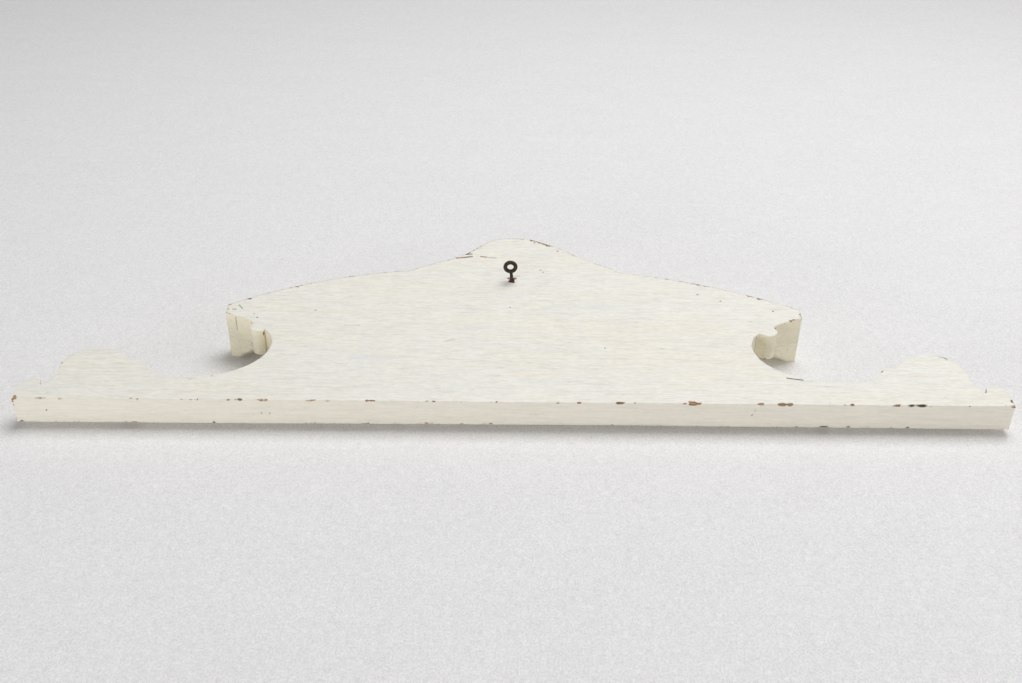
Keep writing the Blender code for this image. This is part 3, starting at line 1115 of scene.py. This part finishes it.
    def arris_ring(self, draft: Draft, arris: Arris, state: dict[str, np.ndarray],
                   share: float) -> list[int]:
        """Adds one ring of points round an arris.

        Args:
            draft: The mesh in the making.
            arris: Which arris.
            state: Its state.
            share: How far round it, from the flat at 0 to the side at 1.

        Returns:
            The ring's point numbers.
        """
        ring = []
        for i, (point, inward) in enumerate(zip(self.outline.points, self.outline.inward)):
            inset, drop = self.arris_section(state, i, share)
            place = point + inward * inset
            if arris is Arris.BACK:
                y = self.relief(place.x, place.y) - drop
            else:
                y = drop - self.thickness
            layers = {Layer.BARE: state["bare"][i], Layer.GRIME_AND_SHADE: state["grime"][i],
                      Layer.SIDE: share if arris is Arris.BACK else 1.0,
                      Layer.IVORY: share * yellowing_and_warm_bounce(place.x, place.y)}
            ring.append(draft.point(place.x, y, place.y, layers))
        return ring

    def side_ring(self, draft: Draft, states: Sequence[dict[str, np.ndarray]],
                  share: float) -> list[int]:
        """Adds one ring of points on the sawn side.

        Args:
            draft: The mesh in the making.
            states: The states of the back and the front arris.
            share: How far down the side, from the back at 0 to the front at 1.

        Returns:
            The ring's point numbers.
        """
        ring = []
        back, front = states
        for i, (point, inward) in enumerate(zip(self.outline.points, self.outline.inward)):
            start, end = -back["depth"][i], front["depth"][i] - self.thickness
            y = start + (end - start) * share
            saw = 0.00008 * ripple(point.x, y, point.y, (0.02, 0.006, 0.02), 6.0)
            place = point + inward * (0.00006 + saw)
            near = max(0.0, 1 - share * 9) * back["bare"][i] * 0.6
            dirt = max((strength * (1 - smoothstep(run * 0.7, run, share))
                        for strength, run in self.dirty.get(i, ())), default=0.0)
            if place.y < self.foot + self.foot_zone:
                dirt = max(dirt, *(0.9 - math.hypot(place.x - pin.x, y - pin.y) / self.pin
                                   for pin in self.pins))
                near = max(near, float(smoothstep(*self.bare_end, place.x)) * (0.75 - share))
            layers = {Layer.SIDE: 1.0, Layer.BARE: near, Layer.IVORY: yellowing_and_warm_bounce(place.x, place.y),
                      Layer.GRIME_AND_SHADE: float(dirt)}
            ring.append(draft.point(place.x, y, place.y, layers))
        return ring

    @staticmethod
    def grid(rim: np.ndarray, step: float, hole: Sequence[Vector] = ()) -> np.ndarray:
        """Jittered places in a honeycomb inside a rim.

        Args:
            rim: The rim, as (x, z) rows.
            step: How far apart the places lie.
            hole: A hole's rim, which they stay clear of.

        Returns:
            The places, as (x, z) rows.
        """
        low, high = rim.min(axis=0), rim.max(axis=0)
        generator = np.random.default_rng(STRAY_SEED)
        rows = []
        for row in range(int((high[1] - low[1]) / (step * ROW_RISE)) + 1):
            x = np.arange(low[0] + (row % 2) * step / 2, high[0], step)
            rows.append(np.column_stack([x, np.full(len(x), low[1] + row * step * ROW_RISE)]))
        places = np.concatenate(rows)
        places += generator.uniform(-STRAY, STRAY, places.shape) * step
        places = places[encloses(rim, places)]
        tree = search_tree(rim, hole)
        clear = min(step * 0.5, RIM_CLEAR)
        return places[[tree.find((x, z, 0))[2] > clear for x, z in places.tolist()]]

    def marked_places(self, rim: np.ndarray) -> np.ndarray:
        """The places for the back's mesh: a grid, with finer rings round each small mark.

        Args:
            rim: The back's rim, as (x, z) rows.

        Returns:
            The places, as (x, z) rows.
        """
        places = self.grid(rim, self.back_grid, self.hole)
        small = [mark for mark in MARKS if mark.small]
        for mark in small:
            wide = replace(mark, reach=mark.reach * 1.6)
            places = places[wide.amount(places, self.view) < 0.35]
        tree = search_tree(rim, self.hole)
        rings: list[np.ndarray] = []
        for mark in small:
            for place in mark.spots(self.view):
                free = all(np.linalg.norm(place - other) > POINT_CLEAR for other in rings)
                if free and tree.find((place[0], place[1], 0))[2] > RING_CLEAR:
                    rings.append(place)
        extra = np.array(rings)
        return np.concatenate([places, extra[encloses(rim, extra)]])

    def fill_back(self, draft: Draft, rim: list[int], hole_rim: list[int]) -> None:
        """Fills the back and presses the marks into it.

        Args:
            draft: The mesh in the making.
            rim: The numbers of the back's rim.
            hole_rim: The numbers of the hole's rim.
        """
        loop = np.array([(draft.points[i][0], draft.points[i][2]) for i in rim])
        start = len(draft.points)
        draft.fill([rim, hole_rim], self.marked_places(loop),
                   lambda x, z: draft.point(x, self.relief(x, z), z))
        places = np.array([(p[0], p[2]) for p in draft.points[start:]])
        sunk = np.zeros(len(places))
        for mark in MARKS:
            amount = mark.amount(places, self.view)
            sunk = np.maximum(sunk, amount * mark.depth * MILLIMETRE)
            values = draft.layers[mark.layer]
            for i, value in enumerate((amount * mark.strength).tolist(), start):
                values[i] = max(values[i], value)
        for i, drop in enumerate(sunk.tolist(), start):
            x, y, z = draft.points[i]
            draft.points[i] = (x, y - drop, z)

    def sink_hole(self, draft: Draft) -> list[int]:
        """Adds the wall and the floor of the screw eye's hole.

        Args:
            draft: The mesh in the making.

        Returns:
            The point numbers of its rim.
        """
        centre = sum(self.hole, Vector((0, 0))) / len(self.hole)
        worn = {Layer.BARE: 1.0, Layer.GRIME_AND_SHADE: 0.8, Layer.RUST: 1.0}
        rings = [[draft.point(p.x, -depth, p.y, worn) for p in self.hole]
                 for depth in (0.0, 0.0006, 0.006, self.hole_depth)]
        draft.bands(rings)
        floor = draft.point(centre.x, -self.hole_depth, centre.y, {Layer.GRIME_AND_SHADE: 1.0})
        count = len(self.hole)
        draft.faces += [(rings[-1][i], rings[-1][(i + 1) % count], floor) for i in range(count)]
        return rings[0]

    def build(self) -> bpy.types.Object:
        """Builds the board's mesh and dresses it.

        Returns:
            The board.
        """
        draft = Draft()
        states = [self.wear(Arris.BACK), self.wear(Arris.FRONT)]
        shares = [k / self.arris_rings for k in range(self.arris_rings + 1)]
        rings = [self.arris_ring(draft, Arris.BACK, states[0], share) for share in shares]
        for k in range(1, self.side_rings):
            rings.append(self.side_ring(draft, states, k / self.side_rings))
        rings += [self.arris_ring(draft, Arris.FRONT, states[1], share)
                  for share in reversed(shares)]
        draft.bands(rings)
        self.fill_back(draft, rings[0], self.sink_hole(draft))
        front = np.array([(draft.points[i][0], draft.points[i][2]) for i in rings[-1]])
        plain = {Layer.SIDE: 0.5}
        draft.fill([rings[-1]], self.grid(front, self.front_grid),
                   lambda x, z: draft.point(x, -self.thickness, z, plain))
        piece = draft.build("painted_board", self.finish.build())
        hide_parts(self.node.name)
        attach(piece, "root")
        return piece


@dataclass
class CrownMoulding:
    """The moulding glued to the front: its section run along the top edge, with two returns.

    Attributes:
        node: The solid that it dresses.
        outline: The board's outline, which it follows.
        finish: Its paint.
        joint: How deep the joint with the board lies.
        board: The board's thickness.
        shoulder: The tip of the shoulder, as (x, z).
        projection: How far it stands off the board.
        band: The height of its upper flat band.
        drip_depth: How far the band's lower edge oversails the cove.
        drip_fall: How far the drip's underside falls.
        quirk: The height of the small fillet above and below the cove.
        cove_height: The height of the cove.
        cove_sag: How hollow the cove is.
        foot_inset: How far its foot lies behind the board's front.
        seat: The least depth of a member in front of the board.
        blend: Over how long a run from the shoulder it turns into the return.
        corner_run: Over how long a run from the shoulder its height grows.
        raking_scale: How much taller the raking run is than the return.
        raking_end_scale: How much taller it is close to the shoulder.
        window: Over how many points on each side the edge's direction is taken.
        softness: The radius of its worn corners.
        bend: The least turn of the section that makes a corner.
        division: The longest step of the section between its corners.
        return_steps: How many faces deep a return is.
        hollow: Where the painted shade under a return starts, is full, ends and is gone, along X.
        hollow_depth: Where the painted shade starts and is full, along Y.
        hollow_shade: How dark the painted shade in the hollow is at +X and at -X.
    """

    node: bpy.types.Object
    outline: Outline
    finish: OldPaint = field(
        default_factory=lambda: OldPaint(Slot.CROWN.value, white=srgb(228, 219, 200)))
    joint: float = 0.0311
    board: float = 0.031
    shoulder: Spot = (0.313, 0.0165)
    projection: float = 0.027
    band: float = 0.0165
    drip_depth: float = 0.0118
    drip_fall: float = 0.0045
    quirk: float = 0.0015
    cove_height: float = 0.0085
    cove_sag: float = 0.0012
    foot_inset: float = 0.0035
    seat: float = 0.004
    blend: float = 0.060
    corner_run: float = 0.007
    raking_scale: float = 1.2
    raking_end_scale: float = 1.45
    window: int = 9
    softness: float = 0.0006
    bend: float = math.radians(25)
    division: float = 0.003
    return_steps: int = 18
    # Painted shade: where the hollow under each return is darkened, and how dark it is.
    hollow: tuple[float, ...] = (0.281, 0.286, 0.299, 0.304)
    hollow_depth: tuple[float, float] = (-0.046, -0.052)
    hollow_shade: tuple[float, float] = (0.42, 0.22)

    def section(self) -> list[Vector]:
        """The moulding's section from the top down, as (projection, drop), with soft corners.

        Returns:
            The section's points.
        """
        inner = self.projection - self.drip_depth
        drip_foot = self.band + self.drip_fall
        start = Vector((inner, drip_foot + self.quirk))
        end = start + Vector((-self.foot_inset - inner, self.cove_height))
        hollow = Vector((start.y - end.y, end.x - start.x)).normalized() * self.cove_sag
        cove = [start.lerp(end, k / 10) + hollow * (4 * k / 10 * (1 - k / 10)) for k in range(11)]
        corners = [Vector((self.projection, 0)), Vector((self.projection, self.band)),
                   Vector((inner, drip_foot)), *cove, end + Vector((0, self.quirk))]
        return self.softened(corners)

    def softened(self, path: Sequence[Vector]) -> list[Vector]:
        """A path with each sharp corner rounded a little and its long stretches divided.

        Args:
            path: The path's points.

        Returns:
            The softened path's points.
        """
        soft = [path[0]]
        for before, corner, after in zip(path, path[1:], path[2:]):
            if (corner - before).angle(after - corner) < self.bend:
                soft.append(corner)
                continue
            radius = min(self.softness, (corner - before).length * 0.4,
                         (after - corner).length * 0.4)
            first = corner + (before - corner).normalized() * radius
            last = corner + (after - corner).normalized() * radius
            soft += [first, (first + 2 * corner + last) / 4, last]
        soft.append(path[-1])
        fine = []
        for a, b in zip(soft, soft[1:]):
            pieces = max(1, math.ceil((b - a).length / self.division))
            fine += [a.lerp(b, k / pieces) for k in range(pieces)]
        return [*fine, soft[-1]]

    def path(self) -> list[Vector]:
        """The board's top edge from the tip at +X to the tip at -X, as (x, z).

        Returns:
            Its points.
        """
        first = self.outline.nearest(Vector(self.shoulder))
        last = self.outline.nearest(Vector((-self.shoulder[0], self.shoulder[1])))
        count = len(self.outline.points)
        return [self.outline.points[(first + k) % count] for k in range((last - first) % count + 1)]

    def row(self, path: Sequence[Vector], projection: float, drop: float) -> list[Vector]:
        """One long line of the moulding, from return to return.

        Args:
            path: The board's top edge.
            projection: How far the line stands off the board.
            drop: How far it lies below the top edge.

        Returns:
            The line's points.
        """
        line = []
        for i, point in enumerate(path):
            ahead = path[min(i + self.window, len(path) - 1)] - path[max(i - self.window, 0)]
            along = ahead.normalized()
            gone = self.shoulder[0] - abs(point.x)
            near = max(0.0, 1 - gone / self.blend)
            scale = self.raking_scale + (self.raking_end_scale - self.raking_scale) * near
            scale = 1 + (scale - 1) * min(1.0, gone / self.corner_run)
            shift = Vector((-along.y, along.x)).lerp(Vector((0, -1)), near) * drop * scale
            shift.x += (projection - self.projection) * near * math.copysign(1, point.x)
            line.append(point + shift)
        depth = -self.board - max(self.seat, projection)
        front = [Vector((place.x, depth, place.y)) for place in line]
        start = Vector((line[0].x, -self.joint, line[0].y))
        end = Vector((line[-1].x, -self.joint, line[-1].y))
        steps = self.return_steps
        first = [start.lerp(front[0], k / steps) for k in range(steps)]
        last = [front[-1].lerp(end, k / steps) for k in range(1, steps + 1)]
        return self.rounded([*first, *front, *last], (len(first), len(first) + len(front) - 1))

    def rounded(self, line: list[Vector], corners: Sequence[int]) -> list[Vector]:
        """A line with its two mitre corners rounded.

        Args:
            line: The line's points.
            corners: The numbers of the points at the corners.

        Returns:
            The rounded line's points.
        """
        result = []
        for i, point in enumerate(line):
            if i not in corners:
                result.append(point)
                continue
            first = point + (line[i - 1] - point).normalized() * self.softness
            last = point + (line[i + 1] - point).normalized() * self.softness
            result += [first, (first + 2 * point + last) / 4, last]
        return result

    def layers(self, place: Vector, edge: float) -> dict[Layer, float]:
        """The paint's state at a point: worn on the sharp members, dirty in the hollows, and
        darkened by painted shade in the hollow under each return.

        Args:
            place: The point.
            edge: How sharp the section is there, from `sharpness`.

        Returns:
            The paint's layers.
        """
        rough = ripple(place.x, place.y, place.z, (0.012, 0.006, 0.006), 2.0)
        fine = ripple(place.x, place.y, place.z, (0.003, 0.003, 0.003), 9.0)
        # Painted shade: the hollow under each return is darkened through the grime layer, more at
        # +X.
        starts, ends = (smoothstep(*self.hollow[k:k + 2], abs(place.x)) for k in (0, 2))
        deep = smoothstep(*self.hollow_depth, place.y)
        dirt = self.hollow_shade[0] if place.x > 0 else self.hollow_shade[1]
        hollow = float((starts - ends) * deep) * dirt
        return {Layer.SIDE: 1.0, Layer.IVORY: yellowing_and_warm_bounce(place.x, place.z),
                Layer.BARE: edge * (0.3 + 0.7 * rough + 0.3 * fine),
                Layer.GRIME_AND_SHADE: max(hollow, -edge * (0.25 + 0.3 * rough))}

    def build(self) -> bpy.types.Object:
        """Builds the moulding's mesh and dresses it.

        Returns:
            The moulding.
        """
        path = self.path()
        section = self.section()
        rows = [self.row(path, *point) for point in section]
        draft = Draft()
        back = [Vector((p.x, -self.joint, p.z)) for p in rows[0]]
        foot = [Vector((p.x, -self.joint, p.z)) for p in rows[-1]]
        numbers = []
        for k, row in enumerate([back, *rows, foot]):
            edge = self.sharpness(section, k - 1)
            numbers.append([draft.point(*self.uneven(p), self.layers(p, edge)) for p in row])
        draft.bands([*numbers, numbers[0]], closed=False)
        for end in (0, -1):
            draft.faces.append(tuple(row[end] for row in numbers))
        piece = draft.build("painted_crown_moulding", self.finish.build())
        with edited(piece.data) as shape:
            bmesh.ops.remove_doubles(shape, verts=shape.verts, dist=1e-6)
            ends = [face for face in shape.faces if len(face.verts) > 4]
            bmesh.ops.triangulate(shape, faces=ends)
            bmesh.ops.recalc_face_normals(shape, faces=shape.faces)
        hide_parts(self.node.name)
        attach(piece, "root")
        return piece

    @staticmethod
    def sharpness(section: Sequence[Vector], k: int) -> float:
        """How sharp the section is at a point.

        Args:
            section: The section's points.
            k: The point's number.

        Returns:
            Up to 1 where it juts out, down to -1 in a hollow.
        """
        if not 0 < k < len(section) - 1:
            return 0.0
        before, after = section[k] - section[k - 1], section[k + 1] - section[k]
        turn = before.angle_signed(after, 0.0)
        return max(-1.0, min(1.0, turn / math.radians(35)))

    @staticmethod
    def uneven(point: Vector) -> Vector:
        """A point moved a little, as hand planing and layers of paint leave it."""
        shift = 0.00012 * ripple(point.x, point.y, point.z, (0.03, 0.01, 0.01), 5.0)
        return Vector((point.x, min(point.y, -0.0313) if shift > 0 else point.y, point.z + shift))


@dataclass
class ScrewEye:
    """The iron screw eye: a ring of wire on a stem, with a rusty foot, made by Geometry Nodes.

    Attributes:
        node: The solid that it dresses.
        finish: Its metal.
        place: Where it enters the board.
        lean: How far it leans, in radians.
        outside: The ring's outer diameter.
        wire: The wire's diameter.
        stem: How long the stem is below the ring.
        stem_radius: The stem's radius.
        foot_radius: The radius of the rusty foot.
        foot_height: The height of the rusty foot.
        shank: How deep it goes into the board.
        shank_radius: The shank's radius.
        rust: How high the rust stands.
        pitting: How many grains of rust lie in a metre.
        seed: Where the rust's noise is read.
    """

    node: bpy.types.Object
    finish: RustyIron = field(default_factory=lambda: RustyIron(Slot.EYE.value))
    place: tuple[float, float, float] = (0.0025, 0.0, 0.068)
    lean: float = math.radians(6)
    outside: float = 0.0160
    wire: float = 0.0044
    stem: float = 0.0108
    stem_radius: float = 0.0018
    foot_radius: float = 0.0027
    foot_height: float = 0.0032
    shank: float = 0.015
    shank_radius: float = 0.0015
    rust: float = 0.0005
    pitting: float = 520.0
    seed: float = 3.0

    def sizes(self) -> dict[str, float]:
        """The node group's inputs by name.

        Returns:
            Their values.
        """
        return {"Ring Radius": (self.outside - self.wire) / 2, "Wire Radius": self.wire / 2,
                "Ring Height": self.stem + self.outside / 2, "Stem Radius": self.stem_radius,
                "Foot Radius": self.foot_radius, "Foot Height": self.foot_height,
                "Shank Length": self.shank, "Shank Radius": self.shank_radius,
                "Rust Height": self.rust, "Seed": self.seed}

    def group(self, finish: bpy.types.Material) -> bpy.types.NodeTree:
        """The node group that winds the wire and roughens it with rust.

        Args:
            finish: The material that it ends in.

        Returns:
            The node group.
        """
        tree = bpy.data.node_groups.new("screw_eye_wire", "GeometryNodeTree")
        for name in self.sizes():
            tree.interface.new_socket(name, in_out="INPUT", socket_type="NodeSocketFloat")
        tree.interface.new_socket("Geometry", in_out="OUTPUT", socket_type="NodeSocketGeometry")
        entry = tree.nodes.new("NodeGroupInput")
        leave = tree.nodes.new("NodeGroupOutput")
        graph = Graph(tree)
        size = {name: Socket(graph, entry.outputs[name]) for name in self.sizes()}
        # Blender's cones and cylinders stand along Z: this turn about X lays them along Y.
        laid = -math.pi / 2
        rounds = [graph.node("GeometryNodeCurvePrimitiveCircle", {},
                             {"Resolution": points, "Radius": radius})
                  for points, radius in ((72, size["Ring Radius"]), (24, size["Wire Radius"]))]
        wound = graph.node("GeometryNodeCurveToMesh", {},
                           {"Curve": rounds[0], "Profile Curve": rounds[1]})
        parts = []
        for low, length, bottom, segments in (
                (0.0006, size["Ring Height"] - size["Ring Radius"], size["Stem Radius"], 16),
                (0.0005, size["Foot Height"], size["Foot Radius"], 6)):
            cone = graph.node("GeometryNodeMeshCone", {}, {
                "Vertices": 28, "Side Segments": segments, "Fill Segments": 2,
                "Radius Bottom": bottom, "Radius Top": size["Stem Radius"], "Depth": length})
            parts.append(graph.moved(cone, (0.0, low, 0.0), laid))
        parts.append(graph.moved(wound, graph.upright(size["Ring Height"])))
        offset = graph.node("ShaderNodeCombineXYZ", {}, {axis: size["Seed"] for axis in "XYZ"})
        where = graph.node("ShaderNodeVectorMath", {"operation": "MULTIPLY_ADD"}, {
            0: graph.node("GeometryNodeInputPosition"), 1: (self.pitting,) * 3, 2: offset})
        grain = graph.node("ShaderNodeTexNoise", {}, {"Vector": where, "Scale": 1.0, "Detail": 3.0})
        push = graph.node("ShaderNodeVectorMath", {"operation": "SCALE"}, {
            0: graph.node("GeometryNodeInputNormal"),
            "Scale": (grain - 0.5) * size["Rust Height"]})
        rusty = graph.node("GeometryNodeSetPosition", {},
                           {"Geometry": graph.joined(parts), "Offset": push})
        shank = graph.node("GeometryNodeMeshCylinder", {}, {
            "Vertices": 20, "Side Segments": 8, "Depth": size["Shank Length"],
            "Radius": size["Shank Radius"]})
        sunk = graph.moved(shank, graph.upright(size["Shank Length"] * -0.5), laid)
        real = graph.node("GeometryNodeRealizeInstances", {},
                          {"Geometry": graph.joined((rusty, sunk))})
        painted = graph.node("GeometryNodeSetMaterial", {}, {"Geometry": real, "Material": finish})
        tree.links.new(painted.output, leave.inputs[0])
        return tree

    def build(self) -> bpy.types.Object:
        """Builds the screw eye and dresses it.

        Returns:
            The screw eye.
        """
        guide = placed("screw_eye_guide", bpy.data.meshes.new("screw_eye_guide"))
        nodes = guide.modifiers.new("wire", "NODES")
        nodes.node_group = self.group(self.finish.build())
        sizes = self.sizes()
        for item in nodes.node_group.interface.items_tree:
            if item.in_out == "INPUT":
                nodes[item.identifier] = sizes[item.name]
        bpy.context.view_layer.update()
        depsgraph = bpy.context.evaluated_depsgraph_get()
        made = bpy.data.meshes.new_from_object(guide.evaluated_get(depsgraph))
        bpy.data.objects.remove(guide)
        made.name = "wrought_screw_eye"
        made.transform(Matrix.Translation(self.place) @ Matrix.Rotation(-self.lean, 4, "Z"))
        made.shade_smooth()
        made.set_sharp_from_angle(angle=math.radians(WIRE_SHARP))
        piece = placed("wrought_screw_eye", made)
        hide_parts(self.node.name)
        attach(piece, "root")
        return piece


@dataclass(frozen=True)
class Lamp:
    """A square soft light.

    Attributes:
        name: Its name.
        place: Where it stands.
        size: The length of its side, in metres.
        power: Its power in watts.
        aim: What it points at.
    """

    name: str
    place: tuple[float, float, float]
    size: float
    power: float
    aim: tuple[float, float, float] = (0.0, 0.0, 0.0)

    def build(self) -> bpy.types.Object:
        """Makes the light and puts it in the scene.

        Returns:
            The light.
        """
        data = bpy.data.lights.new(self.name, "AREA")
        data.size = self.size
        data.energy = self.power
        light = placed(self.name, data)
        light.location = self.place
        ahead = Vector(self.aim) - Vector(self.place)
        light.rotation_euler = ahead.to_track_quat("-Z", "Y").to_euler()
        return light


@dataclass
class Studio:
    """The pale cloth, the soft lights and the pale surroundings.

    The cloth touches the crown moulding and lies a few millimetres below the board's lower edge.

    Attributes:
        crown: How deep the cloth lies at the origin.
        tilt: How much nearer it comes for each metre down.
        roll: How much nearer it comes for each metre along X.
        reach: Half the length of its side.
        surround: The colour of the surroundings.
        surround_strength: How strongly they light the scene.
        backdrop_strength: How bright the camera sees them.
        lamps: The lights.
    """

    crown: float = 0.0585
    tilt: float = 0.147
    roll: float = -0.001
    reach: float = 5.0
    surround: Colour = (1.0, 1.0, 1.0)
    surround_strength: float = 0.25
    backdrop_strength: float = 0.76
    lamps: tuple[Lamp, ...] = (
        Lamp("window", (-0.75, 2.9, 1.05), 2.1, 77), Lamp("side_fill", (-2.2, 1.6, -0.9), 2.5, 10),
        Lamp("near_fill", (1.5, 0.45, -2.25), 1.2, 28, (0.0, 0.0, -0.1)),
        Lamp("front_fill", (0.8, -2.2, 1.6), 2.0, 26),
    )

    def cloth(self) -> bpy.types.Object:
        """The cloth, as a flat sheet that can be seen through from below.

        Returns:
            The cloth.
        """
        corners = []
        for x, z in ((-1, -1), (-1, 1), (1, 1), (1, -1)):
            x, z = x * self.reach, z * self.reach
            corners.append((x, -self.crown - self.tilt * z + self.roll * x, z))
        mesh = bpy.data.meshes.new("cloth")
        mesh.from_pydata(corners, [], [(0, 1, 2, 3)])
        if mesh.polygons[0].normal.y < 0:
            mesh.flip_normals()
        mesh.materials.append(Linen("linen").build())
        cloth = placed("cloth", mesh)
        cloth.visible_shadow = False
        return cloth

    def build(self) -> None:
        """Sets the stage."""
        self.cloth()
        for lamp in self.lamps:
            lamp.build()
        world = bpy.data.worlds.new("surround")
        world.use_nodes = True
        tree = world.node_tree
        sky = tree.nodes["Background"]
        backdrop = tree.nodes.new("ShaderNodeBackground")
        for light, strength in ((sky, self.surround_strength), (backdrop, self.backdrop_strength)):
            light.inputs["Color"].default_value = (*self.surround, 1)
            light.inputs["Strength"].default_value = strength
        direct = tree.nodes.new("ShaderNodeLightPath")
        either = tree.nodes.new("ShaderNodeMixShader")
        tree.links.new(direct.outputs["Is Camera Ray"], either.inputs[0])
        tree.links.new(sky.outputs[0], either.inputs[1])
        tree.links.new(backdrop.outputs[0], either.inputs[2])
        tree.links.new(either.outputs[0], tree.nodes["World Output"].inputs["Surface"])
        bpy.context.scene.world = world
        bpy.context.scene.view_settings.view_transform = "Standard"


def main() -> None:
    """Builds the dressed pediment, its stage and its camera."""
    logging.basicConfig(level=logging.INFO, format="%(name)s: %(message)s")
    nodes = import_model()["nodes"]
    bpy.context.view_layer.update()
    view = ViewPoint()
    board = BackBoard(nodes["back_board"], view)
    moulding = CrownMoulding(nodes["crown_moulding"], board.outline)
    for piece in (board.build(), moulding.build(), ScrewEye(nodes["screw_eye"]).build()):
        LOG.info("%s: %d faces", piece.name, len(piece.data.polygons))
    Studio().build()
    view.build()


if __name__ == "__main__":
    main()
